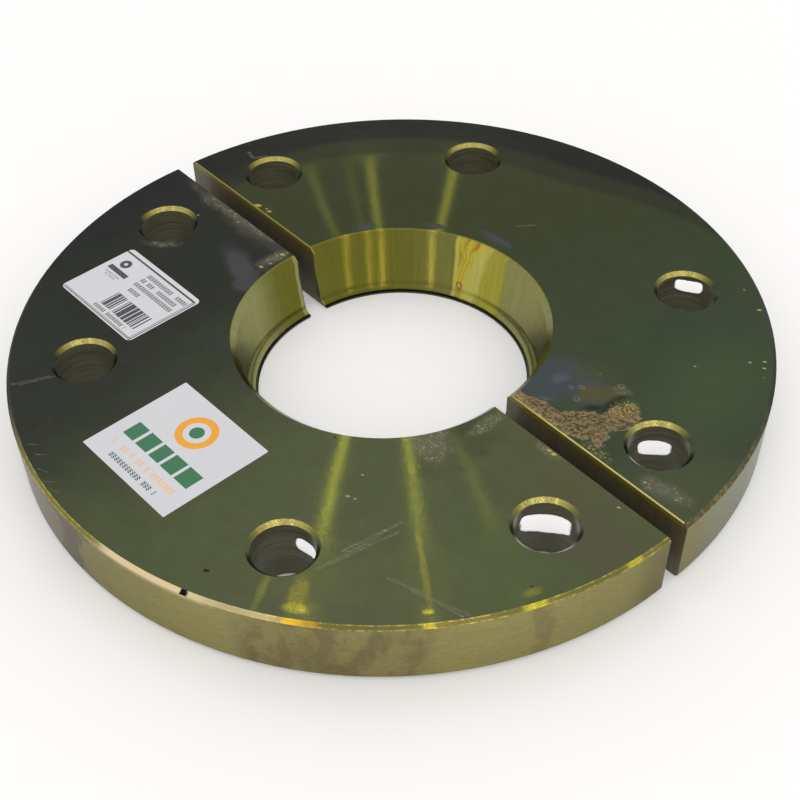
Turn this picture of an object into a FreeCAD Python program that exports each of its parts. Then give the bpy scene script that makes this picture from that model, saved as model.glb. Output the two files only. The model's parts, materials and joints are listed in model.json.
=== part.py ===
import FreeCAD, Part
import math
import os

from FreeCAD import Vector

# A split flange clamp: one turned and plated steel ring, drilled, then sawn into two halves
# that close round a tapered collar and are bolted through eight holes.
# The origin is the middle of the pair on the underside. X runs along the saw cut,
# Y points to the back half and Z points up. All lengths are in millimetres, angles in degrees.

# Ring
outer_diameter = 266.7
thickness = 25.4
rim_chamfer = 1.3

# Bore section, from the top face down: mouth chamfer, straight land, taper, cove, nose
bore_diameter = 106.4
mouth_chamfer = 2.2
land_depth = 8.4
throat_diameter = 95.0
cove_radius = 3.3
nose_height = 0.8

# Bolt holes, on a circle about each half's own centre, measured from the cut
hole_circle_diameter = 213.0
hole_diameter = 20.6
hole_mouth_chamfer = 1.4
hole_back_chamfer = 0.2
first_hole_angle = 12.4
hole_step_angle = 45.1

# Saw cut, and how far each half stands away from the middle
saw_kerf = 1.5
saw_offset = 2.45
half_shift = 3.0
cut_edge_break = 0.4

# Stick-on labels on the front half. Each middle is placed by its distance in from the rim and
# by its bearing round the half's own centre.
label_thickness = 0.15
stock_label_length = 43.6
stock_label_width = 32.2
stock_label_corner = 2.0
stock_label_from_rim = 37.1
stock_label_bearing = 216.6
stock_label_turn = 1.6
square_label_length = 45.4
square_label_width = 42.0
square_label_corner = 0.4
square_label_from_rim = 43.3
square_label_bearing = 269.7
square_label_turn = 1.5

# Worked out from the sizes above
outer_radius = outer_diameter / 2
bore_radius = bore_diameter / 2
throat_radius = throat_diameter / 2
hole_radius = hole_diameter / 2
hole_circle_radius = hole_circle_diameter / 2
second_hole_angle = first_hole_angle + hole_step_angle
clear_of_part = outer_diameter
axis_up = Vector(0, 0, 1)
origin = Vector(0, 0, 0)


def section_point(radius, height):
    """A point of the ring's section, in the plane of X and Z."""
    return Vector(radius, 0, height)


def bore_taper():
    """The taper's angle from the vertical: it leaves the land's foot and runs tangent into the cove."""
    reach = bore_radius - throat_radius
    drop = thickness - land_depth - nose_height - cove_radius
    to_centre = math.atan2(reach, drop)
    aside = math.asin(cove_radius / math.hypot(reach, drop))
    return to_centre - aside


def ring_section():
    """The closed section of the ring on one side of its axis."""
    taper = bore_taper()
    cove_centre_height = nose_height + cove_radius

    def on_cove(angle):
        radius = throat_radius + cove_radius * math.cos(angle)
        return section_point(radius, cove_centre_height - cove_radius * math.sin(angle))

    throat_foot = section_point(throat_radius, 0)
    nose_top = on_cove(math.pi / 2)
    cove_middle = on_cove((taper + math.pi / 2) / 2)
    cove_top = on_cove(taper)
    path = [
        cove_top,
        section_point(bore_radius, thickness - land_depth),
        section_point(bore_radius, thickness - mouth_chamfer),
        section_point(bore_radius + mouth_chamfer, thickness),
        section_point(outer_radius - rim_chamfer, thickness),
        section_point(outer_radius, thickness - rim_chamfer),
        section_point(outer_radius, rim_chamfer),
        section_point(outer_radius - rim_chamfer, 0),
        throat_foot,
        nose_top,
    ]
    edges = [Part.LineSegment(a, b).toShape() for a, b in zip(path, path[1:])]
    edges.append(Part.Arc(nose_top, cove_middle, cove_top).toShape())
    return Part.Face(Part.Wire(edges))


def make_ring():
    """The whole turned ring, about its own centre."""
    return ring_section().revolve(origin, axis_up, 360)


def hole_cutter(x, y):
    """What one bolt hole takes away: a drilled hole with a countersunk mouth on each face."""
    foot = Vector(x, y, 0)
    drill = Part.makeCylinder(hole_radius, thickness, foot, axis_up)
    mouth_foot = foot + Vector(0, 0, thickness - hole_mouth_chamfer)
    mouth = Part.makeCone(
        hole_radius, hole_radius + hole_mouth_chamfer, hole_mouth_chamfer, mouth_foot, axis_up
    )
    back = Part.makeCone(hole_radius + hole_back_chamfer, hole_radius, hole_back_chamfer, foot, axis_up)
    return drill.fuse([mouth, back])


def hole_centres():
    """The eight bolt holes about the ring's own centre, two pairs to each half."""
    angles = []
    for angle in (first_hole_angle, second_hole_angle):
        angles += [angle, 180 - angle, 180 + angle, -angle]
    return [
        (hole_circle_radius * math.cos(math.radians(a)), hole_circle_radius * math.sin(math.radians(a)))
        for a in angles
    ]


def sawn_side(cut_y, side):
    """All that lies on one side of the saw cut, with the cut's upper and lower corners broken."""
    outline = [
        (cut_edge_break, 0),
        (0, cut_edge_break),
        (0, thickness - cut_edge_break),
        (cut_edge_break, thickness),
        (clear_of_part, thickness),
        (clear_of_part, 0),
        (cut_edge_break, 0),
    ]
    points = [Vector(-clear_of_part, cut_y + side * reach, height) for reach, height in outline]
    return Part.Face(Part.makePolygon(points)).extrude(Vector(2 * clear_of_part, 0, 0))


def make_half(drilled_ring, side):
    """One half of the sawn ring: side is 1 for the back half and -1 for the front half."""
    cut_y = saw_offset + side * saw_kerf / 2
    half = drilled_ring.common(sawn_side(cut_y, side))
    half.translate(Vector(0, side * half_shift, 0))
    return half


def make_label(length, width, corner, from_rim, bearing, turn):
    """A thin paper label with rounded corners, lying on the top face of the front half."""
    sheet = Part.makeBox(length, width, label_thickness, Vector(-length / 2, -width / 2, 0))
    upright = [edge for edge in sheet.Edges if edge.BoundBox.ZLength > label_thickness / 2]
    sheet = sheet.makeFillet(corner, upright)
    sheet.rotate(origin, axis_up, turn)
    reach = outer_radius - from_rim
    across = reach * math.cos(math.radians(bearing))
    forward = reach * math.sin(math.radians(bearing)) - half_shift
    sheet.translate(Vector(across, forward, thickness))
    return sheet


def build_parts():
    """Every separate piece, by the name of its node."""
    cutters = [hole_cutter(x, y) for x, y in hole_centres()]
    drilled_ring = make_ring().cut(cutters)
    return {
        "front_half": make_half(drilled_ring, -1),
        "back_half": make_half(drilled_ring, 1),
        "stock_label": make_label(
            stock_label_length,
            stock_label_width,
            stock_label_corner,
            stock_label_from_rim,
            stock_label_bearing,
            stock_label_turn,
        ),
        "square_label": make_label(
            square_label_length,
            square_label_width,
            square_label_corner,
            square_label_from_rim,
            square_label_bearing,
            square_label_turn,
        ),
    }


os.makedirs("parts", exist_ok=True)
for name, shape in build_parts().items():
    shape.Solids[0].exportStep("parts/" + name + ".step")
    print(name, "solids", len(shape.Solids), "volume", round(shape.Volume), "valid", shape.isValid())
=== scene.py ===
import json
import math

import bmesh
import bpy
from bpy.props import FloatProperty, FloatVectorProperty, PointerProperty
from mathutils import Matrix, Vector


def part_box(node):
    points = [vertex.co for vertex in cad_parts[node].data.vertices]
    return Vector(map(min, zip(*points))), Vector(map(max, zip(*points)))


bl_info = {
    "name": "Split flange clamp finish",
    "version": (1, 0, 0),
    "blender": (4, 5, 0),
    "location": "View3D > Sidebar > Flange clamp",
    "description": "Finishes the plated halves and their labels, and sets the studio round them",
    "category": "Object",
}

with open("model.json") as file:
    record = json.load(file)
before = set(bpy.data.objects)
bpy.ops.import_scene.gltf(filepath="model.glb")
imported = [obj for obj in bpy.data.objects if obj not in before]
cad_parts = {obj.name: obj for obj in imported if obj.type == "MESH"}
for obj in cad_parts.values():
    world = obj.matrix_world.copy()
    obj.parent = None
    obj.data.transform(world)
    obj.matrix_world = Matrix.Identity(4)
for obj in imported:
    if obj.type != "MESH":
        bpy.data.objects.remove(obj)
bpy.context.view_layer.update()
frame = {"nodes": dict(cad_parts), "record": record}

MM = 1000.0
FRONT = -1
BACK = 1
HALVES = {FRONT: "front_half", BACK: "back_half"}

# Sizes of the real part, in millimetres, read from the frame
mounts = {mount["name"]: mount for mount in frame["record"]["mounts"]}
THICKNESS = mounts["top_face"]["pos_m"][2] * MM
HALF_SHIFT = mounts["back_land"]["pos_m"][1] * MM
LAND_RADIUS = mounts["back_land"]["dims"]["r_mm"]
HOLE_RADIUS = mounts["cut_bolts"]["dims"]["hole_r_mm"]
OUTER_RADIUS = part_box("back_half")[1].y * MM - HALF_SHIFT
CUT_Y = {FRONT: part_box("front_half")[1].y * MM, BACK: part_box("back_half")[0].y * MM}
HOLES = [
    (
        mounts[name]["dims"]["spacing_x_mm"] / 2,
        mounts[name]["dims"]["spacing_y_mm"] / 2 - HALF_SHIFT,
    )
    for name in ("cut_bolts", "outer_bolts")
]

# Widths of the broken edges, and how near a surface a point must lie to count as on it
RIM_CHAMFER = 1.3
BORE_CHAMFER = 2.2
NOSE_HEIGHT = 0.8
HOLE_CHAMFER = 1.4
ON_SURFACE = 0.3

# Divides a coordinate until it no longer counts, and how many times an oval's own reach is measured
FAR = 1.0e6
OVAL_REACH = 4.0

# The way to the far edge, in x and y: the film is oldest toward it, and the hole mouths carry a painted
# highlight where they face away from it
TO_FAR_EDGE = (-0.77, 0.64)

# The middle of the bore's drip: its bearing in degrees and the height of its foot
DRIP_BEARING = 112.7
DRIP_FOOT = 5.0

# What the clear film over the plating mirrors of a white room, and how much more of it where the
# film is older, toward the far edge
FILM_GLOW = 0.044
OLD_FILM_GLOW = 0.03


def tone(red, green, blue):
    """A colour as a screen shows it, each part from 0 to 255, as Blender's linear values."""
    shares = [part / 255 for part in (red, green, blue)]
    return tuple(s / 12.92 if s <= 0.04045 else ((s + 0.055) / 1.055) ** 2.4 for s in shares)


def colour_property(name, description, red, green, blue):
    return FloatVectorProperty(
        name=name,
        description=description,
        default=tone(red, green, blue),
        subtype="COLOR",
        size=3,
        min=0.0,
        max=1.0,
    )


def angle_property(name, description, degrees):
    return FloatProperty(name=name, description=description, default=math.radians(degrees), subtype="ANGLE")


class Wire:
    """One output of a material's nodes. Sums written on wires add Math nodes to the material."""

    def __init__(self, sheet, socket):
        self.sheet = sheet
        self.socket = socket

    def __add__(self, other):
        return self.sheet.sum("ADD", self, other)

    def __radd__(self, other):
        return self.sheet.sum("ADD", other, self)

    def __sub__(self, other):
        return self.sheet.sum("SUBTRACT", self, other)

    def __rsub__(self, other):
        return self.sheet.sum("SUBTRACT", other, self)

    def __mul__(self, other):
        return self.sheet.sum("MULTIPLY", self, other)

    def __rmul__(self, other):
        return self.sheet.sum("MULTIPLY", other, self)

    def __truediv__(self, other):
        return self.sheet.sum("DIVIDE", self, other)

    def __rtruediv__(self, other):
        return self.sheet.sum("DIVIDE", other, self)

    def __pow__(self, power):
        return self.sheet.sum("POWER", self, power)

    def __abs__(self):
        return self.sheet.sum("ABSOLUTE", self)

    def above(self, edge):
        return self.sheet.sum("GREATER_THAN", self, edge)

    def below(self, edge):
        return self.sheet.sum("LESS_THAN", self, edge)

    def least(self, other):
        return self.sheet.sum("MINIMUM", self, other)

    def most(self, other):
        return self.sheet.sum("MAXIMUM", self, other)

    def whole(self):
        return self.sheet.sum("FLOOR", self)

    def rest(self):
        """What is left past the whole number."""
        return self.sheet.sum("FRACT", self)

    def rise(self, low, high, start=0.0, end=1.0):
        """Eases from start at low to end at high, and stays there beyond them."""
        settings = {"interpolation_type": "SMOOTHSTEP"}
        values = {"Value": self, "From Min": low, "From Max": high, "To Min": start, "To Max": end}
        return self.sheet.node("ShaderNodeMapRange", settings, values)

    def near(self, middle, reach, soft):
        """1 within reach of the middle, easing to 0 over soft."""
        return abs(self - middle).rise(reach, reach + soft, 1.0, 0.0)

    def between(self, low, high, soft):
        """1 from low to high, easing to 0 over soft on each side."""
        return self.near((low + high) / 2, (high - low) / 2, soft)


class Sheet:
    """The node tree of a new material or world, its owner."""

    def __init__(self, owner):
        owner.use_nodes = True
        self.owner = owner
        self.tree = owner.node_tree
        self.tree.nodes.clear()

    def node(self, kind, settings=None, values=None, output=0):
        """Adds a node: its settings come first, then the values or wires of its sockets."""
        made = self.tree.nodes.new(kind)
        for name, value in (settings or {}).items():
            setattr(made, name, value)
        for key, value in (values or {}).items():
            if isinstance(value, Wire):
                self.tree.links.new(value.socket, made.inputs[key])
            else:
                made.inputs[key].default_value = value
        return Wire(self, made.outputs[output]) if made.outputs else None

    def sum(self, operation, *terms):
        return self.node("ShaderNodeMath", {"operation": operation}, dict(enumerate(terms)))

    def vector_sum(self, operation, *terms):
        return self.node("ShaderNodeVectorMath", {"operation": operation}, dict(enumerate(terms)))

    def scaled(self, vector, factor):
        return self.node("ShaderNodeVectorMath", {"operation": "SCALE"}, {0: vector, "Scale": factor})

    def vector(self, x=0.0, y=0.0, z=0.0):
        return self.node("ShaderNodeCombineXYZ", values={0: x, 1: y, 2: z})

    def parts(self, vector):
        """The three numbers of a vector."""
        first = self.node("ShaderNodeSeparateXYZ", values={0: vector})
        outputs = first.socket.node.outputs
        return [Wire(self, outputs[axis]) for axis in range(3)]

    def mix(self, factor, under, over, blend="MIX"):
        """Lays one colour over another."""
        settings = {"data_type": "RGBA", "blend_type": blend}
        colours = [c if isinstance(c, Wire) else (*c, 1.0) for c in (under, over)]
        return self.node("ShaderNodeMix", settings, {0: factor, 6: colours[0], 7: colours[1]}, output=2)

    def noise(self, place, scale, detail=2.0, roughness=0.5):
        """Clouds, from 0 to 1 about 0.5; scale is how many fit in a millimetre of place."""
        values = {"Vector": place, "Scale": scale, "Detail": detail, "Roughness": roughness}
        return self.node("ShaderNodeTexNoise", values=values)

    def chance(self, place):
        """A random number for each different place."""
        return self.node("ShaderNodeTexWhiteNoise", {"noise_dimensions": "3D"}, {"Vector": place})

    def put_on(self, values):
        """Ends the sheet in a principled shader and its output, and returns the material."""
        shader = self.node("ShaderNodeBsdfPrincipled", values=values)
        self.node("ShaderNodeOutputMaterial", values={"Surface": shader})
        return self.owner

    def any_of(self, masks):
        """The strongest of several masks."""
        masks = list(masks)
        strongest = masks[0]
        for mask in masks[1:]:
            strongest = strongest.most(mask)
        return strongest


class Finish:
    """A surface's colour as the photograph shows it, its roughness, and its shares of metal and film."""

    def __init__(self, sheet, colour, rough, metal, film):
        self.sheet = sheet
        self.colour = sheet.mix(0.0, colour, colour)
        self.rough = sheet.sum("ADD", rough, 0.0)
        self.metal = sheet.sum("ADD", metal, 0.0)
        self.film = sheet.sum("ADD", film, 0.0)
        self.glow = sheet.mix(0.0, (0.0, 0.0, 0.0), (0.0, 0.0, 0.0))

    def lay(self, mask, colour=None, rough=None, metal=None, film=None):
        if colour is not None:
            self.colour = self.sheet.mix(mask, self.colour, colour)
        if rough is not None:
            self.rough = self.rough + (rough - self.rough) * mask
        if metal is not None:
            self.metal = self.metal + (metal - self.metal) * mask
        if film is not None:
            self.film = self.film + (film - self.film) * mask

    def light(self, mask, colour):
        """Makes the surface glow by itself, a painted highlight where bright steel would throw the room's
        light back.
        """
        self.glow = self.sheet.mix(mask, self.glow, colour)

    def shade(self, factor):
        """Multiplies the colour by a number that changes over the surface."""
        self.colour = self.sheet.scaled(self.colour, factor)


class PlateSheet(Sheet):
    """The material of one half, with wires that tell where on the half a point lies.

    x, y and z are in millimetres in the part's frame. radius and bearing (in degrees) are about
    the half's own centre. The masks are 1 on the surface that they name.
    """

    def __init__(self, name, side):
        super().__init__(bpy.data.materials.new(name))
        self.side = side
        here = self.node("ShaderNodeTexCoord", output="Object")
        self.place = self.node("ShaderNodeMapping", values={"Vector": here, "Scale": (MM, MM, MM)})
        self.x, self.y, self.z = self.parts(self.place)
        self.own_y = self.y - side * HALF_SHIFT
        self.radius = (self.x * self.x + self.own_y * self.own_y) ** 0.5
        self.bearing = self.sum("ARCTAN2", self.own_y, self.x) * math.degrees(1.0)
        self.hole_reach = self.reach_of_holes()
        self.normal = self.node("ShaderNodeNewGeometry", output="Normal")
        self.nx, self.ny, self.nz = self.parts(self.normal)
        upper = self.z.above(THICKNESS / 2)
        tilt = abs(self.nz)
        self.flat = tilt.above(0.95)
        self.wall = tilt.below(0.55)
        self.slope = 1.0 - self.flat.most(self.wall)
        self.top = self.flat * upper
        mouth_reach = self.hole_reach.below(HOLE_RADIUS + HOLE_CHAMFER + ON_SURFACE)
        self.hole_mouth = self.slope * mouth_reach
        self.hole_wall = self.wall * self.hole_reach.below(HOLE_RADIUS + ON_SURFACE)
        land_reach = self.radius.below(LAND_RADIUS + ON_SURFACE)
        self.bore_mouth = self.slope * self.radius.below(LAND_RADIUS + BORE_CHAMFER + ON_SURFACE) * upper
        self.bore = land_reach * (1.0 - self.flat) * (1.0 - self.bore_mouth)
        self.outer = self.wall * self.radius.above(OUTER_RADIUS - ON_SURFACE)
        self.rim = self.slope * self.radius.above(OUTER_RADIUS - RIM_CHAMFER - ON_SURFACE)
        from_cut = abs(self.y - CUT_Y[side])
        self.cut = self.wall * from_cut.below(ON_SURFACE)
        self.cut_edge = self.slope * from_cut.below(2 * ON_SURFACE) * (1.0 - self.rim)
        self.torn = self.noise(self.place, 0.13, 5.0, 0.62) - 0.5
        self.grain = self.noise(self.place, 1.1, 3.0, 0.6) - 0.5
        self.broad = self.noise(self.place, 0.018, 2.0) - 0.5
        self.torn_by_strength = {}
        wave = self.torn * 2.0
        self.wavy_place = self.vector_sum("ADD", self.place, self.vector(wave, wave, 0.0))

    def reach_of_holes(self):
        """How far a point is from the axis of the nearest bolt hole."""
        reaches = []
        for hole_x, hole_y in HOLES:
            across = abs(self.x) - hole_x
            along = abs(self.own_y) - hole_y
            reaches.append((across * across + along * along) ** 0.5)
        return reaches[0].least(reaches[1])

    def oval(self, x, y, length, width, turn=0.0, ragged=1.5, soft=0.3):
        """A ragged oval patch on the top face, about x and y, turned by turn degrees."""
        values = {
            "Vector": self.place,
            "Location": (x, y, 0.0),
            "Rotation": (0.0, 0.0, math.radians(turn)),
            "Scale": (length / 2 * OVAL_REACH, width / 2 * OVAL_REACH, FAR),
        }
        local = self.node("ShaderNodeMapping", {"vector_type": "TEXTURE"}, values)
        ball_like = {"gradient_type": "SPHERICAL"}
        ball = self.node("ShaderNodeTexGradient", ball_like, {"Vector": local}, output=1)
        inward = ball * OVAL_REACH - self.torn_by(ragged)
        edge = OVAL_REACH - 1.0
        return inward.rise(edge - soft, edge + soft)

    def torn_by(self, ragged):
        """The shared torn clouds, made ragged times as strong."""
        if ragged not in self.torn_by_strength:
            self.torn_by_strength[ragged] = self.torn * ragged
        return self.torn_by_strength[ragged]

    def ovals(self, rows, **how):
        return self.any_of(self.oval(*row, **how) for row in rows) * self.top

    def stroke(self, x0, y0, x1, y1, width):
        """A soft line on the top face from one point to another."""
        values = {
            "Vector": self.wavy_place,
            "Location": ((x0 + x1) / 2, (y0 + y1) / 2, 0.0),
            "Rotation": (0.0, 0.0, math.atan2(y1 - y0, x1 - x0)),
            "Scale": (1.0, 1.0, FAR),
        }
        local = self.node("ShaderNodeMapping", {"vector_type": "TEXTURE"}, values)
        half = (math.hypot(x1 - x0, y1 - y0) / 2, 0.0, 0.0)
        past = self.vector_sum("SUBTRACT", self.vector_sum("ABSOLUTE", local), half)
        past = self.vector_sum("MAXIMUM", past, (0.0, 0.0, 0.0))
        reach = self.node("ShaderNodeVectorMath", {"operation": "LENGTH"}, {0: past}, output=1)
        return reach.rise(width * 0.25, width * 0.75, 1.0, 0.0)

    def strokes(self, rows):
        return self.any_of(self.stroke(*row) for row in rows) * self.top

    def dots(self, rows):
        """Small ragged dots on the top face, each a row of x, y and width."""
        return self.ovals([(x, y, width * 0.8, width * 0.5, 30.0) for x, y, width in rows], ragged=3.0)

    def combed(self, turn, fine=2.5, long=0.12):
        """Fine broken scratches that run at turn degrees across the top face."""
        cos, sin = math.cos(math.radians(turn)), math.sin(math.radians(turn))
        along = self.x * cos + self.y * sin
        across = self.y * cos - self.x * sin
        return self.noise(self.vector(across * fine, along * long, 0.0), 1.0, 2.0, 0.6)

    def turned_normal(self, depth, ring_depth, lean):
        """The normal, tipped across the turning marks as their grooves tip it.

        The marks run round the axis of the ring, or of a bolt hole inside it, and along the cut.
        depth tips it finely, below what a picture shows, ring_depth in rings that show, and lean
        tips it all one way: up on a wall and inward on a top face.
        """
        up = (0.0, 0.0, 1.0)
        level = self.vector_sum("CROSS_PRODUCT", up, self.normal)
        round_axis = self.scaled(self.vector(self.own_y * -1.0, self.x, 0.0), 1.0 / self.radius)
        not_flat = 1.0 - self.flat
        marks = self.vector_sum("ADD", self.scaled(level, not_flat), self.scaled(round_axis, self.flat))
        across = self.vector_sum("CROSS_PRODUCT", self.normal, self.vector_sum("NORMALIZE", marks))
        run = self.z * not_flat + self.radius * self.flat
        fine = self.noise(self.vector(run * 40.0), 1.0, 1.0) - 0.5
        rings = self.noise(self.vector(run * 0.8), 1.0, 1.0) - 0.5
        tip = fine * depth + rings * ring_depth + lean
        tipped = self.vector_sum("ADD", self.normal, self.scaled(across, tip))
        return self.vector_sum("NORMALIZE", tipped)

    def close(self, finish, normal, height, depth):
        """Puts the shader and the output on the sheet, and returns the material.

        The film's own mirroring is taken off the shown colour, which leaves the metal's.
        """
        blue = self.parts(finish.colour)[2]
        toward_far_edge = self.x * TO_FAR_EDGE[0] + self.y * TO_FAR_EDGE[1]
        full_glow = toward_far_edge.rise(-90.0, 140.0, FILM_GLOW, FILM_GLOW + OLD_FILM_GLOW)
        film = ((blue - 0.003) / full_glow).least(1.0).most(0.0) * finish.metal * finish.film
        glow = film * full_glow
        under = self.vector_sum("SUBTRACT", finish.colour, self.vector(glow, glow, glow))
        bare = self.vector_sum("MAXIMUM", under, (0.003, 0.003, 0.003))
        bump_values = {"Strength": 1.0, "Distance": depth / MM, "Height": height, "Normal": normal}
        values = {
            "Base Color": bare,
            "Roughness": finish.rough,
            "Metallic": finish.metal,
            "Specular Tint": (0.5, 0.5, 0.5, 1.0),
            "Coat Weight": film,
            "Coat Roughness": 0.25,
            "Normal": self.node("ShaderNodeBump", values=bump_values),
            "Emission Color": finish.glow,
            "Emission Strength": 1.0,
        }
        self.owner.cycles.emission_sampling = "NONE"
        return self.put_on(values)


class PlatingSettings(bpy.types.PropertyGroup):
    """Colours of the plated steel as the photograph shows them, some of them painted reflections and
    highlights.
    """

    # Far and near olive are the dark and light ends of a painted reflection across the front half's top face;
    # near olive also lightens the back half's right end
    olive_in_dark_reflection: colour_property("Far olive", "The front half's plating at its dark end", 50, 53, 46)
    olive_in_light_reflection: colour_property("Near olive", "The front half's plating at its light end", 81, 88, 59)
    back_olive: colour_property("Back olive", "The back half's plating by the left", 65, 70, 47)
    back_green: colour_property("Back green", "The back half's plating by the right", 61, 71, 53)
    # A painted dark reflection, along the far rim and over its chamfer
    rim_dark_reflection: colour_property("Rim band", "The near-black band along the far rim", 46, 48, 43)
    # A painted dark reflection at the front half's far end
    corner_reflection: colour_property("Dark corner", "The blue-black plating at the front half's far end", 45, 47, 47)
    wall: colour_property("Outer wall", "The khaki plating of the outer wall", 153, 146, 94)
    wall_patch: colour_property("Wall patches", "Brown patches on the outer wall", 118, 108, 77)
    wall_far: colour_property("Far wall", "The pinkish-grey left end of the outer wall", 140, 132, 112)
    wall_violet: colour_property("Violet patch", "The violet-grey patch by the wall's left end", 104, 96, 84)
    wall_pale: colour_property("Pale wall", "The greyer plating of the back half's wall", 161, 164, 136)
    bore: colour_property("Bore", "The golden plating inside the bore", 98, 97, 39)
    bore_pale: colour_property("Pale bore", "The paler panel inside the bore", 150, 144, 57)
    # A painted reflection: the bore's sides are painted lighter and greyer than its golden far wall
    land: colour_property("Bore sides", "The grey-green plating at the bore's sides", 136, 136, 90)
    edge: colour_property("Worn edge", "The dull gold of the broken edges", 128, 122, 62)
    # Bright plating of the broken edges, also the colour of painted highlights on the hole mouths and along
    # the rim chamfer's edges
    bright_edge_and_highlight: colour_property("Bright edge", "The brightest plating of the broken edges", 205, 196, 118)
    peach: colour_property("Bared edge", "Bare metal on the most worn stretch of the rim", 222, 202, 160)
    bare: colour_property("Bare steel", "The drilled walls of the bolt holes", 128, 127, 104)
    # A painted highlight: near-white glints on the drilled walls
    glint: colour_property("Bright steel", "Bright patches on the drilled walls", 232, 232, 230)
    # The glow of those painted glints
    shine: colour_property("Shine", "What the bright patches throw back by themselves", 205, 205, 205)
    # A painted highlight: yellow spots on the near rim and streaks on the top face inside it
    yellow_highlight: colour_property("Shiny spots", "Rubbed yellow spots on the near rim", 196, 188, 56)
    # A painted highlight on the near rim
    orange: colour_property("Orange spot", "The orange spot on the near rim", 205, 158, 40)
    sawn: colour_property("Sawn face", "The sawn faces, stained nearly black", 100, 96, 72)
    sawn_gold: colour_property("Sawn gold", "The brown-gold band along the top of the sawn face", 104, 84, 40)


class WearSettings(bpy.types.PropertyGroup):
    """Colours of what has stained, scratched or dusted the plating."""

    slate: colour_property("Slate", "Blue-grey heat stains by the bore", 66, 73, 79)
    rust: colour_property("Rust", "The lines of the rust patch", 152, 130, 90)
    rust_ground: colour_property("Rust ground", "The stained plating between the rust's lines", 78, 68, 42)
    rust_pale: colour_property("Rust foot", "The pale foot of the rust's drip", 176, 152, 126)
    drip: colour_property("Drip", "The brown drip that runs down the bore", 150, 112, 38)
    drip_pale: colour_property("Drip's middle", "The pale gold middle of the drip", 178, 162, 60)
    glaze: colour_property("Glaze", "The brown-yellow patch beside the rust", 88, 82, 50)
    slate_pale: colour_property("Pale slate", "Pale smears in the heat stains", 92, 98, 104)
    brown: colour_property("Brown tinge", "The plating's brown tinge by the cut", 88, 82, 54)
    green: colour_property("Green tinge", "The plating's green tinge on the near right", 74, 92, 54)
    dim: colour_property("Dim plating", "Dulled plating beside the bore", 62, 64, 44)
    dust: colour_property("Dust", "Pale dust and scratches", 150, 148, 124)
    grime: colour_property("Grime", "Grey-brown grime by the cut", 84, 80, 68)
    gold: colour_property("Gold flecks", "Flecks of bright plating", 178, 162, 84)
    soot: colour_property("Soot", "Dark specks and chips", 26, 26, 24)


# Marks on the top faces, in the part's frame: x, y, length, width and turn
SLATE_STAINS = {
    FRONT: [(-62, -21, 27, 9, -16), (-54, -26, 8, 7, 0)],
    BACK: [
        (58, 22, 20, 24, 0), (70, 27, 20, 14, 20), (-51, 30, 8, 4, 60),
        (-11, 62.5, 14, 4, 5), (-33, 51, 8, 2.5, 35),
    ],
}
RUST_PATCHES = [(72, 9.5, 32, 7, 6), (81, 15, 22, 13, 35), (86.5, 24, 16, 10, 75)]
GLAZE_PATCHES = [(73.5, 29, 14, 9, 50)]
GILT_PATCHES = [(84.5, 29, 9, 6, 80), (92, 8.5, 10, 3, 0)]
PALE_SLATE = [(59.5, 24.5, 4, 8, 0), (64, 14, 5, 2, 30)]
STAIN_RINGS = [(65.6, 24.2, 2.0), (67.8, 27.0, 1.8), (70.8, 21.5, 2.2), (67.6, 36.6, 1.4), (76.4, 37.4, 2.4)]
STAIN_STREAKS = [(80.5, 28, 13, 3.2, 88), (77.5, 22.5, 8, 2.6, 50)]
BROWN_PATCHES = {FRONT: [(112, -18, 46, 34, 0), (88, -6, 64, 14, 0)], BACK: [(66, 33, 18, 12, 40)]}
GREEN_PATCHES = {FRONT: [(106.8, -44.3, 44, 30, 50)], BACK: [(98, 60, 50, 30, 100)]}
DIM_PATCHES = [(58, -20, 18, 32, 10)]
GRIME_PATCHES = {
    FRONT: [
        (-82, -3, 58, 9, 0), (-58, -9, 7, 16, 0), (55, -28, 11, 14, 60),
        (118, -20, 24, 22, 0), (101, -3, 24, 3, 0),
    ],
    BACK: [(119, 12, 16, 8, 10)],
}
DUST_PATCHES = {
    FRONT: [
        (-95, -35, 12, 4, 42), (54.5, -29, 12, 17, 70), (59.5, -9, 5, 14, 0), (83, -3, 9, 4, 0),
        (102, -1, 8, 1.6, 0), (-59, -8, 5, 14, 0), (-86, -2, 44, 6, 5),
    ],
    BACK: [(119, 12, 14, 6, 15), (78, 36, 7, 4, 20)],
}
GOLD_FLECKS = {
    FRONT: [
        (84, -2.8, 3), (82, -2.6, 2), (-58, -15, 2.4),
        (-57, -11, 1.8), (-58.5, -4.4, 2.6), (-57.5, -1, 1.6),
    ],
    BACK: [
        (-90, 7.6, 3), (-84, 8.5, 3), (-86, 8.8, 2), (101, 83.5, 1.6),
        (103, 80.7, 1.4), (106, 77, 1.2), (71, 109, 1.6), (82, 104, 2),
    ],
}
PALE_DOTS = {
    FRONT: [
        (54, -64.6, 1.8), (56.4, -63.5, 1.2), (50, -55.1, 1.0),
        (-100.7, -13.8, 1.0), (-86.5, -4.8, 1.4), (113.9, -4.1, 1.2),
    ],
    BACK: [(123.7, 11.7, 1.2), (112, 10, 1.2), (86.5, 63.8, 1.0), (97.8, 79.4, 1.0)],
}
DARK_DOTS = {
    FRONT: [(30.8, -50.9, 1.8), (118.5, -46.4, 1.4), (49.3, -115.8, 2.4)],
    BACK: [(95, 50, 0.8)],
}

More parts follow.
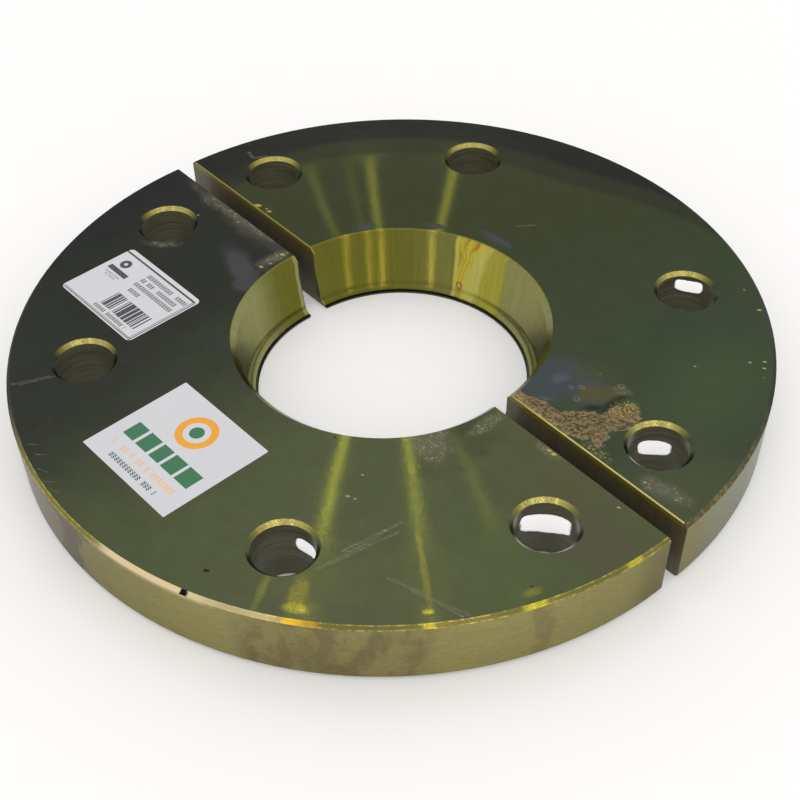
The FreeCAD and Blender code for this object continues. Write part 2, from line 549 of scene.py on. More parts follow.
# Scratches on the top faces: from x and y, to x and y, and width
SCRATCHES = {
    FRONT: [
        (-33.9, -129.1, -31.0, -125.8, 0.35),
        (-28.0, -129.3, -25.5, -126.5, 0.35),
        (-22.3, -132.4, -18.5, -130.7, 0.35),
        (-15.6, -133.4, -12.3, -130.3, 0.35),
        (-11.3, -133.8, -8.0, -132.1, 0.35),
        (-62.8, -117.7, -58.0, -106.5, 0.9),
        (-61.0, -116.0, -56.8, -105.0, 0.7),
        (71.0, -89.8, 73.5, -68.0, 1.0),
        (72.0, -86.0, 76.0, -62.0, 0.8),
        (70.5, -80.0, 74.0, -58.5, 1.0),
        (87.5, -77.0, 99.0, -72.0, 0.8),
        (89.0, -75.5, 113.0, -69.5, 0.7),
        (97.0, -74.0, 114.0, -67.5, 0.9),
    ],
    BACK: [(-122.5, 26.9, -117.5, 26.1, 1.2), (-117.5, 26.1, -115.1, 31.3, 0.8), (-12, 74, -8, 80, 0.7)],
}

# Painted highlights, yellow spots on the near rim: bearing, half width in degrees and share
RIM_HIGHLIGHTS = [(-52.3, 0.8, 0.9), (-34.9, 0.4, 0.8), (-21.0, 1.2, 0.9), (-5.6, 0.9, 0.9)]

# Painted highlights, yellow streaks on the top face inside them, running out along a bearing: bearing, from
# and to radius, width and share
STREAK_HIGHLIGHTS = [
    (-52.6, 116.0, 130.0, 5.0, 0.22),
    (-52.2, 126.5, 129.5, 6.0, 0.5),
    (-57.6, 114.0, 131.0, 2.6, 0.22),
    (-34.4, 98.0, 129.0, 2.2, 0.2),
    (-34.8, 127.0, 129.0, 3.6, 0.7),
    (-20.6, 126.5, 129.5, 5.0, 0.25),
]

# Painted glints, near-white highlights that also glow by themselves, on the drilled walls: x and y of the
# hole, from and to bearing, from and to height
HOLE_GLINTS = {
    FRONT: [(104.0, -25.9, 80, 182, 10, 18.5), (57.2, -92.8, 72, 122, 12.5, 18.5)],
    BACK: [(57.2, 92.8, 92, 152, 17, 22), (104.0, 25.9, 102, 164, 10.5, 17.0)],
}


def ground_of_top(sheet, finish, plating):
    """The turned top face's ground colour, which changes slowly across it, with painted reflections: darker
    toward the front half's far end, and a near-black band along the back half's far rim.
    """
    if sheet.side == FRONT:
        # Painted reflection: light olive toward the near end, dark olive toward the far end, and blue-black
        # past it
        glow = (sheet.x + sheet.broad * 60.0).rise(-60.0, 46.0)
        finish.colour = sheet.mix(glow, plating.olive_in_dark_reflection, plating.olive_in_light_reflection)
        past = (sheet.x + sheet.torn * 8.0).rise(-126.0, -96.0, 1.0, 0.0)
        finish.lay(past, plating.corner_reflection)
        return
    glow = (sheet.x + sheet.broad * 60.0).rise(-20.0, 90.0)
    finish.colour = sheet.mix(glow, plating.back_olive, plating.back_green)
    # Painted reflection: dark toward the far left end and in a band along the far rim that narrows with the
    # bearing, and lighter toward the right end by the cut
    past_left = (sheet.x + sheet.torn * 8.0).rise(-124.0, -100.0, 0.9, 0.0)
    finish.lay(past_left, plating.rim_dark_reflection)
    past_right = sheet.x.rise(95.0, 125.0) * sheet.y.rise(15.0, 50.0, 1.0, 0.0)
    finish.lay(past_right * 0.6, plating.olive_in_light_reflection)
    narrowing = sheet.bearing.rise(52.0, 106.0, 34.0, 0.0)
    edge = sheet.radius - narrowing + sheet.torn * 3.0
    finish.lay(edge.rise(105.0, 109.0) * 0.5, plating.rim_dark_reflection, 0.4)
    finish.lay(edge.rise(115.0, 120.0), plating.rim_dark_reflection, 0.5)


def rust_of_top(sheet, finish, wear):
    """The glaze and the crackled rust by the back half's cut. Gives back how high the rust stands."""
    patch = sheet.ovals(RUST_PATCHES, ragged=2.2, soft=0.12)
    finish.lay(sheet.ovals(PALE_SLATE, ragged=4.0, soft=0.9) * (0.5 + sheet.grain), wear.slate_pale)
    finish.lay(sheet.ovals(GLAZE_PATCHES, ragged=2.6, soft=0.6) * 0.8, wear.glaze, 0.3)
    finish.lay(sheet.ovals(STAIN_STREAKS, ragged=2.4, soft=0.6) * 0.6, wear.soot, 0.3)
    for x, y, width in STAIN_RINGS:
        hollow = sheet.oval(x, y, width * 0.7, width * 0.6, ragged=4.0, soft=0.5)
        ring = sheet.oval(x, y, width, width * 0.8, ragged=4.0, soft=0.5) * (1.0 - hollow)
        finish.lay(ring * sheet.top * 0.5, wear.dust, 0.4)
    finish.lay(patch, wear.rust_ground, 0.4, 0.6)
    along = sheet.x * 0.87 + sheet.y * 0.5
    across = sheet.y * 0.87 - sheet.x * 0.5
    levels = sheet.noise(sheet.vector(along * 0.6, across * 1.2, 0.0), 0.13, 3.0, 0.5) * 8.0
    lines = abs(levels.rest() - 0.5).rise(0.09, 0.24, 1.0, 0.0)
    lumps = sheet.noise(sheet.place, 0.8, 3.0, 0.7).rise(0.47, 0.6)
    rim = (patch * (1.0 - patch) * 4.0).rise(0.5, 0.9)
    crust = (lines * (0.6 + sheet.grain * 2.0)).most(lumps * 0.6).most(rim * 0.7) * patch.rise(0.0, 0.4)
    finish.lay(crust, wear.rust, 0.7, 0.2)
    gilt = sheet.ovals(GILT_PATCHES, ragged=2.0, soft=0.6) * 0.7
    gilded = (patch * sheet.y.rise(6.5, 9.5, 0.6, 0.0)).most(gilt)
    finish.lay(gilded * sheet.grain.rise(-0.02, 0.1), wear.gold, 0.4)
    return lumps * sheet.oval(80, 14, 34, 20, 25, ragged=1.0) * sheet.top


def wear_of_top(sheet, finish, wear):
    """Stains, grime, dust, scratches and flecks on a top face."""
    side = sheet.side
    blotches = 0.5 + sheet.noise(sheet.place, 0.09, 3.0, 0.6).rise(0.4, 0.6) * 0.5
    finish.lay(sheet.ovals(BROWN_PATCHES[side], ragged=2.0, soft=0.6) * blotches * 0.45, wear.brown)
    finish.lay(sheet.ovals(GREEN_PATCHES[side], ragged=1.0, soft=0.8) * 0.35, wear.green)
    if side == FRONT:
        finish.lay(sheet.ovals(DIM_PATCHES, ragged=1.6, soft=0.7) * blotches * 0.7, wear.dim)
    stain = sheet.ovals(SLATE_STAINS[side], ragged=1.6, soft=0.45)
    finish.lay(stain * (0.75 + sheet.torn * 1.2 + sheet.grain * 0.5), wear.slate, 0.2)
    finish.lay(sheet.ovals(GRIME_PATCHES[side], ragged=2.2, soft=0.5) * 0.6, wear.grime, 0.4)
    dusty = sheet.ovals(DUST_PATCHES[side], ragged=2.0, soft=0.5)
    flecks = sheet.combed(35.0, 2.6, 0.7).rise(0.56, 0.66)
    flecks = flecks.most(sheet.combed(-60.0, 2.6, 0.7).rise(0.58, 0.68))
    clumps = sheet.noise(sheet.place, 0.35, 3.0, 0.6).rise(0.42, 0.6)
    finish.lay(dusty * (0.12 + flecks * clumps * 1.3).least(1.0), wear.dust, 0.6, 0.3)
    comb = sheet.combed(35.0).rise(0.5, 0.66) * clumps
    finish.lay(sheet.strokes(SCRATCHES[side]) * (0.1 + comb * 0.5), wear.dust, 0.5, 0.3)
    strays = sheet.combed(20.0, 1.6, 0.5).rise(0.72, 0.78)
    strays = strays.most(sheet.combed(-70.0, 1.6, 0.5).rise(0.74, 0.8))
    finish.lay(strays * sheet.top * 0.4, wear.dust, 0.6, 0.3)
    finish.lay(sheet.dots(GOLD_FLECKS[side]), wear.gold, 0.3)
    finish.lay(sheet.dots(PALE_DOTS[side]), wear.dust, 0.5, 0.3)
    finish.lay(sheet.dots(DARK_DOTS[side]), wear.soot, 0.5, 0.5)


def finish_outer_wall(sheet, finish, plating):
    """The turned outer wall: wavy grain along its length, brown patches and a paler far end."""
    wave = sheet.noise(sheet.vector(sheet.bearing * 0.16, sheet.z * 0.22, 0.0), 1.0, 2.0)
    grain = abs((wave * 9.0).rest() - 0.5) * 2.0
    brushed = sheet.noise(sheet.vector(sheet.bearing * 0.1, sheet.z * 2.6, 0.0), 1.0, 2.0, 0.6) - 0.5
    ground = sheet.mix(sheet.bearing.rise(0.0, 14.0), plating.wall, plating.wall_pale)
    finish.lay(sheet.outer, ground, 0.28, film=0.25)
    if sheet.side == FRONT:
        patchy = sheet.noise(sheet.vector(sheet.bearing * 0.3, sheet.z * 0.06, 0.0), 1.0, 3.0, 0.6)
        stained = sheet.bearing.between(-58.0, -37.0, 4.0) * patchy.rise(0.4, 0.6, 0.35, 1.0)
        finish.lay(sheet.outer * stained * 0.8, plating.wall_patch, 0.35)
        drop = (sheet.bearing + sheet.torn * 6.0).near(-19.8, 0.7, 0.8)
        finish.lay(sheet.outer * drop * 0.4, plating.wall_patch)
        finish.lay(sheet.outer * sheet.bearing.rise(-98.0, -84.0, 0.75, 0.0), plating.wall_far)
        violet = (sheet.bearing + sheet.torn * 14.0).near(-90.0, 2.0, 2.0)
        finish.lay(sheet.outer * violet * 0.7, plating.wall_violet)
        finish.lay(sheet.outer * sheet.bearing.rise(-7.0, -1.0, 0.0, 0.6), plating.wall_patch)
        bared = (sheet.bearing + sheet.torn * 8.0).between(-82.0, -66.0, 4.0) * sheet.z.rise(22.0, 24.0)
        finish.lay(sheet.outer * bared * 0.7, plating.peach, 0.35)
    finish.shade(1.0 + ((grain - 0.5) * 0.14 + brushed * 0.3) * sheet.outer)


def finish_bore(sheet, finish, plating, wear):
    """The bore: its straight land, its golden taper, the pale panel and the rust drip."""
    inside = sheet.bore.most(sheet.bore_mouth)
    finish.lay(inside, plating.bore, 0.1, film=0.3)
    if sheet.side == BACK:
        # Painted reflection: lighter grey-green toward the bore's right side
        finish.lay(inside * sheet.bearing.rise(70.0, 150.0, 0.8, 0.0), plating.land)
        panel = sheet.bearing.rise(88.5, 91.0) * sheet.bearing.rise(114.4, 115.2, 1.0, 0.0)
        finish.lay(inside * panel * 0.9, plating.bore_pale)
        drip_place = sheet.bearing + sheet.z * 0.2 + sheet.torn * 5.0
        beside = drip_place.between(105.0, 109.0, 3.0) * 0.35
        beside = beside.most(sheet.bearing.between(113.3, 114.3, 0.7) * 0.3)
        finish.lay(inside * panel * beside, plating.bright_edge_and_highlight)
        spread = sheet.z.rise(18.0, 24.0, 1.2, 3.0)
        aside = abs(drip_place - DRIP_BEARING) / spread
        down = sheet.z.rise(3.0, 5.0)
        finish.lay(inside * aside.rise(1.2, 2.4, 0.8, 0.0) * down, wear.drip_pale)
        finish.lay(inside * aside.near(0.7, 0.1, 0.3) * down * (0.6 + sheet.torn * 2.0), wear.drip, 0.3)
        reach = ((drip_place - DRIP_BEARING) ** 2.0 + (sheet.z - DRIP_FOOT) ** 2.0) ** 0.5
        finish.lay(inside * reach.near(1.3, 0.25, 0.3), wear.drip, 0.5, 0.5)
        finish.lay(inside * reach.rise(0.7, 1.2, 0.8, 0.0), wear.rust_pale, 0.5, 0.5)
    else:
        # Painted reflection: lighter grey-green over the front half's bore, fading out toward its far left
        # end
        finish.lay(inside * sheet.bearing.rise(-174.0, -150.0), plating.land)
    finish.lay(sheet.bore_mouth * sheet.z.rise(THICKNESS - 0.7, THICKNESS - 0.2) * 0.5, plating.edge)
    finish.lay(sheet.bore * sheet.z.below(NOSE_HEIGHT), wear.dim, 0.5, 0.2)
    streaky = sheet.noise(sheet.vector(sheet.bearing * 0.7, sheet.z * 0.03, 0.0), 1.0, 3.0, 0.6) - 0.5
    finish.shade(1.0 + (streaky * 0.5 + sheet.grain * 0.15) * inside)


def finish_holes(sheet, finish, plating):
    """The drilled walls of the bolt holes, bare and ringed, painted darker toward the top, with painted
    glints that glow by themselves.
    """
    finish.lay(sheet.hole_wall, plating.bare, 0.35, 0.25)
    rings = sheet.noise(sheet.vector(sheet.z * 1.4, sheet.x * 0.05, sheet.y * 0.05), 1.0, 2.0) - 0.5
    # Painted shade: the drilled walls darken by up to a third toward the top; the rings are random tone
    finish.shade(1.0 + (rings * 1.2 - sheet.z.rise(12.0, 22.0, 0.0, 0.35)) * sheet.hole_wall)
    for x, y, start, end, low, high in HOLE_GLINTS[sheet.side]:
        middle = math.radians((start + end) / 2)
        toward = (sheet.x - x) * math.cos(middle) + (sheet.y - y) * math.sin(middle)
        aside = (sheet.y - y) * math.cos(middle) - (sheet.x - x) * math.sin(middle)
        across = aside / (HOLE_RADIUS * math.sin(math.radians(end - start) / 2))
        up = (sheet.z - (HOLE_RADIUS - toward) * 0.7 - (low + high) / 2) / ((high - low) / 2)
        reach = abs(across) ** 4.0 + abs(up) ** 4.0 + sheet.torn * 2.0
        close_by = abs(sheet.x - x).most(abs(sheet.y - y)).below(HOLE_RADIUS + 1.0)
        glint = reach.rise(0.8, 1.2, 1.0, 0.0) * toward.above(0.0) * close_by
        # Painted glint: near-white, and glowing by itself
        finish.lay(glint * sheet.hole_wall, plating.glint, 0.5, 0.0)
        finish.light(glint * sheet.hole_wall, plating.shine)


def finish_edges(sheet, finish, plating, wear):
    """The broken edges of the rim and the hole mouths, with their painted highlights, and the painted
    highlight streaks on the top face inside the rim.
    """
    rubbed = (sheet.noise(sheet.place, 0.5, 3.0, 0.6)).rise(0.4, 0.65)
    speckled = (sheet.noise(sheet.place, 1.6, 2.0, 0.6)).rise(0.35, 0.65)
    # Painted highlight: the hole mouths turn gold, and speckled bright gold, only where they face away from
    # the far edge
    facing = sheet.nx * TO_FAR_EDGE[0] + sheet.ny * TO_FAR_EDGE[1]
    finish.lay(sheet.hole_mouth * facing.rise(-0.55, -0.15, 1.0, 0.0), plating.edge, 0.2, film=0.3)
    bright = facing.rise(-0.68, -0.4, 1.0, 0.0) * (0.3 + speckled * 0.35)
    finish.lay(sheet.hole_mouth * bright, plating.bright_edge_and_highlight, 0.2)
    rim = sheet.rim * sheet.z.above(THICKNESS / 2)
    if sheet.side == BACK:
        # Painted dark reflection over the back half's rim chamfer
        finish.lay(rim, plating.rim_dark_reflection, 0.8, 0.2, 0.0)
        finish.lay(rim * sheet.bearing.rise(12.0, 34.0, 0.8, 0.0) * rubbed.most(0.4), plating.edge, 0.3)
        return
    along = sheet.bearing + sheet.torn * 4.0
    finish.lay(rim * along.rise(-122.0, -95.0), plating.edge, 0.2, film=0.3)
    finish.lay(rim * along.rise(-60.0, -44.0) * 0.3, wear.dim)
    # Painted highlights: thin bright lines along both edges of the rim chamfer
    lines = sheet.z.near(THICKNESS, 0.2, 0.15).most(sheet.z.near(THICKNESS - RIM_CHAMFER, 0.2, 0.15))
    finish.lay(rim * lines * (0.05 + rubbed * 0.5) * along.rise(-112.0, -100.0), plating.bright_edge_and_highlight)
    # Painted dark reflection on the rim chamfer at the far end
    finish.lay(rim * along.rise(-118.0, -106.0, 1.0, 0.0), plating.rim_dark_reflection, 0.8, 0.2, 0.0)
    bared = along.between(-80.0, -56.0, 4.0) * along.rise(-68.0, -60.0, 1.0, 0.5)
    finish.lay(rim * bared, plating.peach, 0.35)
    finish.lay(rim * (sheet.bearing + sheet.torn * 2.0).near(-67.2, 0.35, 0.4), wear.soot, 0.5)
    # Painted highlights: yellow spots on the rim chamfer
    for middle, reach, share in RIM_HIGHLIGHTS:
        spot = (sheet.bearing + sheet.torn * 2.0).near(middle, reach, 0.9)
        finish.lay(rim * spot * rubbed.most(0.6) * share, plating.yellow_highlight)
    # Painted highlights: speckled yellow streaks on the top face by the rim
    for bearing, inner, outer, width, share in STREAK_HIGHLIGHTS:
        reach, turn = (inner + outer) / 2, math.radians(bearing)
        x, y = reach * math.cos(turn), reach * math.sin(turn) - HALF_SHIFT
        smear = sheet.oval(x, y, outer - inner, width, bearing, ragged=2.4, soft=0.6)
        finish.lay(smear * sheet.top * (0.5 + speckled * 0.5) * share, plating.yellow_highlight)
    # A painted highlight: an orange spot on the rim chamfer
    finish.lay(rim * along.near(-51.0, 1.8, 1.4) * 0.6, plating.orange)


def finish_cut(sheet, finish, plating):
    """The sawn face: nearly black, with a brown-gold band under its rubbed top edge."""
    sawn_lines = sheet.noise(sheet.vector(sheet.x * 0.6, 0.0, sheet.z * 0.08), 1.0, 3.0) - 0.5
    finish.lay(sheet.cut, plating.sawn, 0.45, 0.3)
    finish.shade(1.0 + sawn_lines * sheet.cut * 0.8)
    height = sheet.z + sheet.torn * 2.5
    band = height.rise(THICKNESS - 5.5, THICKNESS - 1.6)
    finish.lay(sheet.cut * band * 0.85, plating.sawn_gold, 0.35)
    finish.lay(sheet.cut * height.near(THICKNESS - 1.5, 0.35, 0.4) * 0.7, plating.edge, 0.3)
    finish.lay(sheet.cut_edge, plating.edge, 0.3, film=0.3)
    finish.lay(sheet.cut_edge * sheet.x.rise(40.0, 80.0, 0.1, 0.8), plating.bright_edge_and_highlight)


def plated_half(side, plating, wear):
    """The whole material of one half."""
    sheet = PlateSheet("plated_" + HALVES[side], side)
    finish = Finish(sheet, plating.olive_in_dark_reflection, 0.05, 1.0, 1.0)
    ground_of_top(sheet, finish, plating)
    finish.shade(1.0 + (sheet.torn * 0.3 + sheet.grain * 0.3) * sheet.top)
    wear_of_top(sheet, finish, wear)
    height = sheet.grain * (0.2 - sheet.top * 0.13)
    if side == BACK:
        height = height + rust_of_top(sheet, finish, wear)
    finish_outer_wall(sheet, finish, plating)
    finish_bore(sheet, finish, plating, wear)
    finish_holes(sheet, finish, plating)
    finish_cut(sheet, finish, plating)
    finish_edges(sheet, finish, plating, wear)
    arcs = sheet.noise(sheet.vector(sheet.radius * 2.2, sheet.bearing * 0.12, 0.0), 1.0, 2.0)
    finish.lay(sheet.top * arcs.rise(0.48, 0.62) * 0.7, rough=0.09)
    haze = sheet.radius.rise(96.0, 112.0) * sheet.radius.rise(123.0, 127.0, 1.0, 0.0) * sheet.top
    finish.lay(haze * (0.7 + sheet.torn), rough=0.2)
    depth = sheet.top * 0.7 + sheet.outer * 0.6 + sheet.bore * 1.6
    depth = depth + sheet.slope * 0.5 + sheet.hole_wall * 1.2
    ring_depth = sheet.top * 0.06 + sheet.outer * 0.1 + sheet.bore * 0.1
    land_lean = sheet.z.rise(16.5, 17.5, 0.62, 0.95) * sheet.z.rise(2.0, 5.0)
    normal = sheet.turned_normal(depth, ring_depth, sheet.bore * land_lean - sheet.top * 0.13)
    return sheet.close(finish, normal, height, 0.1)


def dress(node, material):
    """Gives a node of the frame its one new material."""
    slots = frame["nodes"][node].data.materials
    slots.clear()
    slots.append(material)


class CLAMP_OT_plate_halves(bpy.types.Operator):
    """Gives both halves their worn zinc chromate plating"""

    bl_idname = "clamp.plate_halves"
    bl_label = "Plate the halves"

    def execute(self, context):
        for side, name in HALVES.items():
            dress(name, plated_half(side, context.scene.clamp_plating, context.scene.clamp_wear))
        return {"FINISHED"}


class LabelSettings(bpy.types.PropertyGroup):
    """Colours of the two labels."""

    paper: colour_property("Paper", "The paper of both labels", 210, 211, 216)
    ink: colour_property("Ink", "The stock label's print", 62, 60, 64)
    pale_ink: colour_property("Pale ink", "The stock label's smaller marks", 128, 127, 131)
    orange: colour_property("Orange", "The square label's ring", 236, 164, 40)
    pale_orange: colour_property("Pale orange", "The square label's row of dashes", 232, 190, 140)
    green: colour_property("Green", "The square label's blocks", 42, 112, 72)
    dark_green: colour_property("Dark green", "The square label's foot row", 58, 92, 82)


class LabelSheet(Sheet):
    """The material of one label: u runs along it and v across it, in millimetres from its middle."""

    def __init__(self, name, node, turn, paper):
        super().__init__(bpy.data.materials.new(name))
        low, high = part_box(node)
        middle = (low + high) / 2
        here = self.node("ShaderNodeTexCoord", output="Object")
        values = {
            "Vector": here,
            "Location": middle,
            "Rotation": (0.0, 0.0, math.radians(turn)),
            "Scale": (1 / MM, 1 / MM, 1 / MM),
        }
        self.place = self.node("ShaderNodeMapping", {"vector_type": "TEXTURE"}, values)
        self.u, self.v, _ = self.parts(self.place)
        fibres = self.noise(self.place, 0.8, 3.0, 0.6)
        clouds = self.noise(self.place, 0.05, 2.0)
        self.colour = self.scaled((*paper,), 0.93 + fibres * 0.06 + clouds * 0.08)
        self.worn = 1.0 - self.noise(self.place, 2.2, 2.0, 0.6).rise(0.62, 0.7) * 0.15

    def block(self, u, v, length, width, edge=0.06):
        """A printed block about u and v."""
        return self.u.near(u, length / 2, edge) * self.v.near(v, width / 2, edge)

    def ring(self, u, v, outer, inner):
        """A printed ring about u and v."""
        across, up = self.u - u, self.v - v
        return ((across * across + up * up) ** 0.5).near((outer + inner) / 2, (outer - inner) / 2, 0.08)

    def dashes(self, u, v, length, width, pitch, seed):
        """A row of small irregular blocks, such as print too small to read, that spells nothing."""
        step = self.u * (1 / pitch) + seed
        cell = step.whole()
        stroke = step.rest().below(0.74) * self.chance(self.vector(cell, seed, 0.0)).above(0.16)
        notch = self.v * (2.6 / width) + self.chance(self.vector(cell, seed, 7.0)) * 2.0
        gap = (notch + step * 1.7).rest().above(0.3)
        return self.block(u, v, length, width) * stroke * gap

    def bars(self, u, v, length, width, pitch):
        """A block of stripes of random widths that stand for nothing."""
        cell = (self.u * (1 / pitch)).whole()
        return self.block(u, v, length, width) * self.chance(self.vector(cell, 0.0, 3.0)).above(0.5)

    def print_on(self, mask, ink):
        self.colour = self.mix(mask * self.worn, self.colour, ink)

    def close(self):
        values = {
            "Base Color": self.colour,
            "Roughness": 0.45 + self.noise(self.place, 0.3, 2.0) * 0.15,
        }
        bump = {"Strength": 0.6, "Distance": 0.02 / MM, "Height": self.noise(self.place, 1.5, 3.0)}
        values["Normal"] = self.node("ShaderNodeBump", values=bump)
        return self.put_on(values)


def stock_label(colours):
    """The printed side of the stock label: a frame, rows of dashes, stripes and plain blocks."""
    sheet = LabelSheet("stock_label_print", "stock_label", 1.6, colours.paper)
    for line in (
        (-0.6, 13.9, 42.6, 0.8),
        (21.1, -0.7, 0.35, 29.4),
        (20.3, -0.7, 0.25, 28.4),
        (0.0, -15.3, 42.0, 0.3),
        (0.0, -14.7, 42.0, 0.2),
    ):
        sheet.print_on(sheet.block(*line), colours.ink)
    for seed, row in enumerate(
        (
            (7.9, 10.7, 23.1, 2.0, 1.25),
            (6.5, 7.6, 21.2, 2.0, 1.25),
            (7.4, 4.6, 23.8, 2.0, 1.25),
            (0.0, 1.1, 7.2, 2.0, 1.25),
            (5.1, -12.9, 19.0, 1.7, 1.1),
        )
    ):
        sheet.print_on(sheet.dashes(*row, seed + 1.0), colours.ink)
    sheet.print_on(sheet.bars(6.7, -6.9, 21.4, 8.3, 0.42), colours.ink)
    sheet.print_on(sheet.ring(-15.4, 8.6, 2.3, 0.8), colours.ink)
    sheet.print_on(sheet.block(-14.0, 4.0, 10.8, 2.2), colours.ink)
    sheet.print_on(sheet.dashes(-14.0, 1.5, 8.6, 0.8, 0.6, 11.0), colours.pale_ink)
    sheet.print_on(sheet.dashes(-14.0, 0.2, 6.0, 0.8, 0.6, 12.0), colours.pale_ink)
    return sheet.close()


def square_label(colours):
    """The printed side of the square label: a plain ring, blocks and rows of dashes."""
    sheet = LabelSheet("square_label_print", "square_label", 1.5, colours.paper)
    sheet.print_on(sheet.ring(-0.2, 9.0, 7.4, 4.8), colours.orange)
    sheet.print_on(sheet.ring(-0.2, 9.0, 2.6, -2.6), colours.green)
    for block in (
        (-14.6, -5.2, 5.6, 7.0),
        (-7.4, -5.2, 6.0, 7.0),
        (-0.4, -5.2, 5.2, 7.0),
        (6.6, -5.2, 6.2, 7.0),
        (14.4, -5.2, 6.8, 7.0),
    ):
        sheet.print_on(sheet.block(*block), colours.green)
    sheet.print_on(sheet.dashes(0.0, -12.8, 33.0, 2.4, 1.7, 21.0), colours.pale_orange)
    sheet.print_on(sheet.dashes(0.0, -17.2, 25.0, 2.0, 1.5, 22.0), colours.dark_green)
    return sheet.close()


class CLAMP_OT_print_labels(bpy.types.Operator):
    """Gives both paper labels their plain print"""

    bl_idname = "clamp.print_labels"
    bl_label = "Print the labels"

    def execute(self, context):
        dress("stock_label", stock_label(context.scene.clamp_labels))
        dress("square_label", square_label(context.scene.clamp_labels))
        return {"FINISHED"}


class StageSettings(bpy.types.PropertyGroup):
    """The camera and the studio."""

    camera_turn: angle_property("Camera turn", "Bearing of the picture's right-hand side", 50.056)
    camera_tilt: angle_property("Camera tilt", "How far the camera looks down", 47.720)
    camera_roll: angle_property("Camera roll", "How far the camera leans", -1.152)
    camera_place: FloatVectorProperty(
        name="Camera place",
        description="Where the camera stands",
        default=(0.2828, -0.2346, 0.3361),
        subtype="XYZ",
        unit="LENGTH",
    )
    lens: FloatProperty(name="Lens", description="Focal length in mm", default=59.99, min=1.0)
    shift: FloatProperty(name="Shift", description="Upward shift of the picture", default=0.125)
    room_light: FloatProperty(
        name="Room light",
        description="Strength of the even room light",
        default=0.92,
        min=0.0,
    )
    strip_light: FloatProperty(
        name="Strip light",
        description="Watts from each square metre of the brightest ceiling strip",
        default=36.0,
        min=0.0,
    )
    strip_colour: colour_property("Strip colour", "The strips' faintly warm white", 255, 226, 206)


# The ceiling strips, short straight lights that are all equally far from the part: the bearing
# and the height in degrees of where a light starts and ends, as seen from the part, and its
# brightness beside the brightest one. The high ones past the part draw the front half's streaks
# and the low ones the back half's; those behind the camera draw the streaks of the bore and rim.
STRIPS = (
    ((148.5, 56.0), (156.1, 65.5), 1.2),
    ((137.6, 56.0), (134.7, 65.5), 1.0),
    ((129.1, 56.0), (116.8, 65.5), 0.22),
    ((134.8, 14.0), (135.5, 25.0), 0.9),
    ((142.0, 14.0), (141.7, 25.0), 0.7),
    ((143.9, 14.0), (143.3, 25.0), 0.12),
    ((147.2, 14.0), (146.2, 25.0), 0.3),
    ((-72.5, 55.0), (-66.0, 20.0), 1.0),
    ((-26.0, 55.0), (-29.0, 20.0), 1.0),
    ((-14.0, 55.0), (-19.0, 20.0), 0.7),
    ((6.0, 55.0), (-1.0, 20.0), 0.7),
    ((33.4, 42.0), (26.0, 20.0), 0.5),
)
STRIP_DISTANCE = 2.0
STRIP_WIDTH = 0.022


def stand(context, thing, right, rise, back, place):
    """Turns the axes of a camera or lamp the given ways, puts it in its place and links it."""
    rows = [[right[i], rise[i], back[i], place[i]] for i in range(3)]
    thing.matrix_world = Matrix(rows + [[0.0, 0.0, 0.0, 1.0]])
    context.collection.objects.link(thing)


def add_camera(context, settings):
    data = bpy.data.cameras.new("camera")
    data.lens = settings.lens
    data.sensor_width = 36.0
    data.shift_y = settings.shift
    camera = bpy.data.objects.new("camera", data)
    turn, tilt, roll = settings.camera_turn, settings.camera_tilt, settings.camera_roll
    level = Vector((math.cos(turn), math.sin(turn), 0.0))
    forward = Vector((-math.sin(turn) * math.cos(tilt), math.cos(turn) * math.cos(tilt), -math.sin(tilt)))
    rise = level.cross(forward)
    right = level * math.cos(roll) + rise * math.sin(roll)
    rise = rise * math.cos(roll) - level * math.sin(roll)
    stand(context, camera, right, rise, -forward, settings.camera_place)
    context.scene.camera = camera


def add_floor(context):
    """A pale plain floor just under the part, white where no shadow falls."""
    reach = 3.0
    drop = 0.0002
    mesh = bpy.data.meshes.new("floor")
    plan = bmesh.new()
    bmesh.ops.create_grid(plan, x_segments=1, y_segments=1, size=reach)
    bmesh.ops.translate(plan, verts=plan.verts, vec=(0.0, 0.0, -drop))
    plan.to_mesh(mesh)
    plan.free()
    floor = bpy.data.objects.new("floor", mesh)
    context.collection.objects.link(floor)
    sheet = Sheet(bpy.data.materials.new("floor"))
    seen = sheet.node("ShaderNodeLightPath", output="Is Camera Ray")
    mirrored = sheet.node("ShaderNodeLightPath", output="Is Glossy Ray")
    matt = sheet.node("ShaderNodeBsdfDiffuse", values={"Color": (0.85, 0.85, 0.85, 1.0)})
    lit = sheet.node("ShaderNodeEmission", values={"Strength": seen.most(mirrored) * 0.17})
    both = sheet.node("ShaderNodeAddShader", values={0: matt, 1: lit})
    sheet.node("ShaderNodeOutputMaterial", values={"Surface": both})
    mesh.materials.append(sheet.owner)


def add_room(context, settings):
    """An even white room, which the camera and mirrors see as plain white."""
    sheet = Sheet(bpy.data.worlds.new("room"))
    seen = sheet.node("ShaderNodeLightPath", output="Is Camera Ray")
    mirrored = sheet.node("ShaderNodeLightPath", output="Is Glossy Ray")
    white = (1.0, 1.0, 1.0, 1.0)
    lit = sheet.node("ShaderNodeBackground", values={"Color": white, "Strength": settings.room_light})
    plain = sheet.node("ShaderNodeBackground", values={"Color": white, "Strength": 1.0})
    both = sheet.node("ShaderNodeMixShader", values={0: seen.most(mirrored), 1: lit, 2: plain})
    sheet.node("ShaderNodeOutputWorld", values={"Surface": both})
    context.scene.world = sheet.owner


def strip_end(bearing, height):
    """The place of a strip's end, in metres, by its bearing and height as seen from the part."""
    turn, lift = math.radians(bearing), math.radians(height)
    return STRIP_DISTANCE * Vector((
        math.cos(turn) * math.cos(lift),
        math.sin(turn) * math.cos(lift),
        math.sin(lift),
    ))


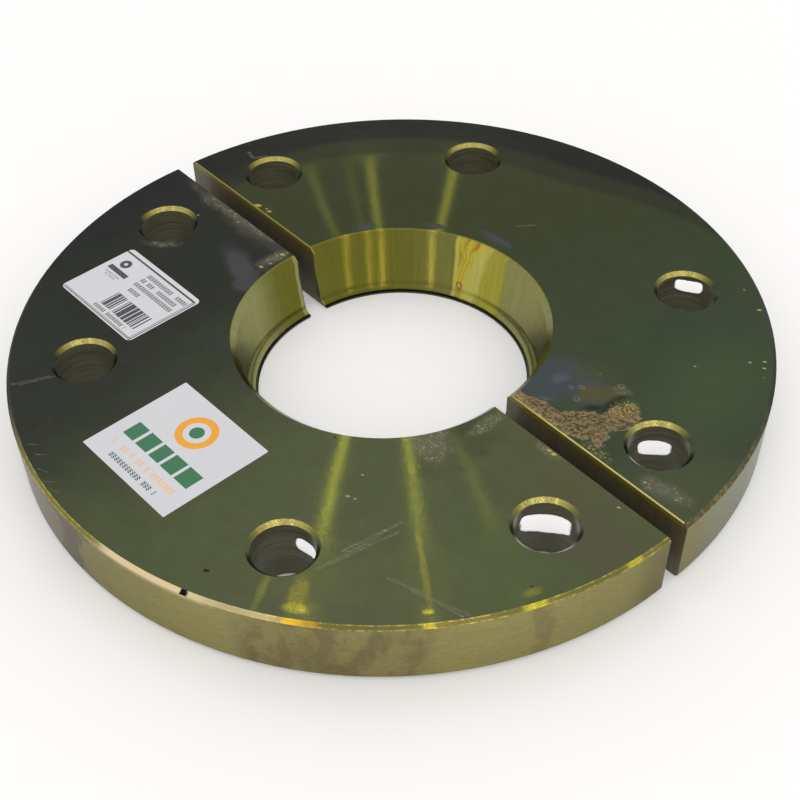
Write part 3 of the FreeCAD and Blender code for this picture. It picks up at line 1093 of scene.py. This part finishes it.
def add_strips(context, settings):
    """Thin ceiling lights, which the turning marks draw out into streaks."""
    for number, (start, end, share) in enumerate(STRIPS):
        start, end = strip_end(*start), strip_end(*end)
        middle = (start + end) / 2
        along = (end - start).normalized()
        away = (middle - along * middle.dot(along)).normalized()
        across = away.cross(along)
        data = bpy.data.lights.new("strip_" + str(number), "AREA")
        data.shape = "RECTANGLE"
        data.size = (end - start).length
        data.size_y = STRIP_WIDTH
        data.energy = settings.strip_light * share * data.size * data.size_y
        data.color = settings.strip_colour
        lamp = bpy.data.objects.new(data.name, data)
        stand(context, lamp, along, across, away, middle)


class CLAMP_OT_set_stage(bpy.types.Operator):
    """Adds the pale floor, the room light, the ceiling strips and the camera"""

    bl_idname = "clamp.set_stage"
    bl_label = "Set the stage"

    def execute(self, context):
        settings = context.scene.clamp_stage
        add_camera(context, settings)
        add_floor(context)
        add_room(context, settings)
        add_strips(context, settings)
        context.scene.view_settings.view_transform = "Standard"
        return {"FINISHED"}


class CLAMP_PT_steps(bpy.types.Panel):
    """Lists the steps of the finish"""

    bl_idname = "CLAMP_PT_steps"
    bl_label = "Flange clamp"
    bl_space_type = "VIEW_3D"
    bl_region_type = "UI"
    bl_category = "Flange clamp"

    def draw(self, context):
        for operator in OPERATORS:
            self.layout.operator(operator.bl_idname)


OPERATORS = (CLAMP_OT_plate_halves, CLAMP_OT_print_labels, CLAMP_OT_set_stage)
GROUPS = {
    "clamp_plating": PlatingSettings,
    "clamp_wear": WearSettings,
    "clamp_labels": LabelSettings,
    "clamp_stage": StageSettings,
}
CLASSES = (*GROUPS.values(), *OPERATORS, CLAMP_PT_steps)


def register():
    for cls in CLASSES:
        bpy.utils.register_class(cls)
    for name, group in GROUPS.items():
        setattr(bpy.types.Scene, name, PointerProperty(type=group))


def unregister():
    for name in GROUPS:
        delattr(bpy.types.Scene, name)
    for cls in reversed(CLASSES):
        bpy.utils.unregister_class(cls)


def main():
    register()
    bpy.ops.clamp.plate_halves()
    bpy.ops.clamp.print_labels()
    bpy.ops.clamp.set_stage()


if __name__ == "__main__":
    main()
